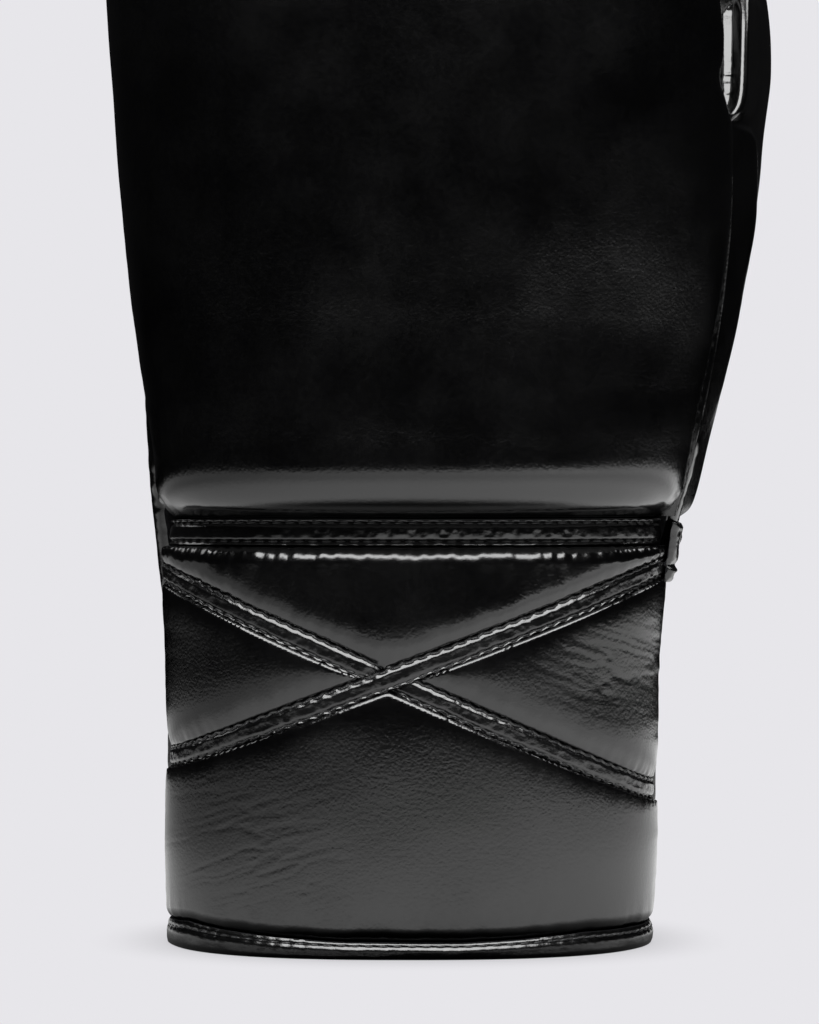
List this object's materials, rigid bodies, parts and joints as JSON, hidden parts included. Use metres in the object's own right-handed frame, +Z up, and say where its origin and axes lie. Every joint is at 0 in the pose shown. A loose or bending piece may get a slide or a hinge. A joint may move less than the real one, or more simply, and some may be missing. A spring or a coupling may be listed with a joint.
{
  "type": "laced boxing glove",
  "caption": "Padded left-hand boxing glove in black leather, laced on the palm side, standing on its quilted cuff.",
  "frame": {"origin": "middle of the glove's overall box, on the floor that the cuff's foot stands on", "axes": "+Z up from the cuff's foot to the knuckles, -Y out of the back of the hand, +X towards the thumb side"},
  "size_m": [0.1576, 0.1382, 0.3021],
  "materials": {
    "leather": "smooth black, semi-gloss",
    "trim_leather": "thin black, glossy",
    "eyelet_metal": "black, gloss"
  },
  "bodies": {
    "root": {"mitt_back": "leather", "mitt_palm": "leather", "thumb": "leather", "cuff_back": "leather", "cuff_flap_thumb_side": "leather", "cuff_flap_pinky_side": "leather", "tongue": "leather", "wrist_band": "trim_leather", "crossed_straps": "trim_leather", "cuff_binding": "trim_leather", "piping_thumb_side": "trim_leather", "piping_pinky_side": "trim_leather", "side_tab": "trim_leather", "eyelet_thumb_side_1": "eyelet_metal", "eyelet_thumb_side_2": "eyelet_metal", "eyelet_thumb_side_3": "eyelet_metal", "eyelet_thumb_side_4": "eyelet_metal", "eyelet_thumb_side_5": "eyelet_metal", "eyelet_thumb_side_6": "eyelet_metal", "eyelet_pinky_side_1": "eyelet_metal", "eyelet_pinky_side_2": "eyelet_metal", "eyelet_pinky_side_3": "eyelet_metal", "eyelet_pinky_side_4": "eyelet_metal", "eyelet_pinky_side_5": "eyelet_metal", "eyelet_pinky_side_6": "eyelet_metal"}
  },
  "joints": []
}
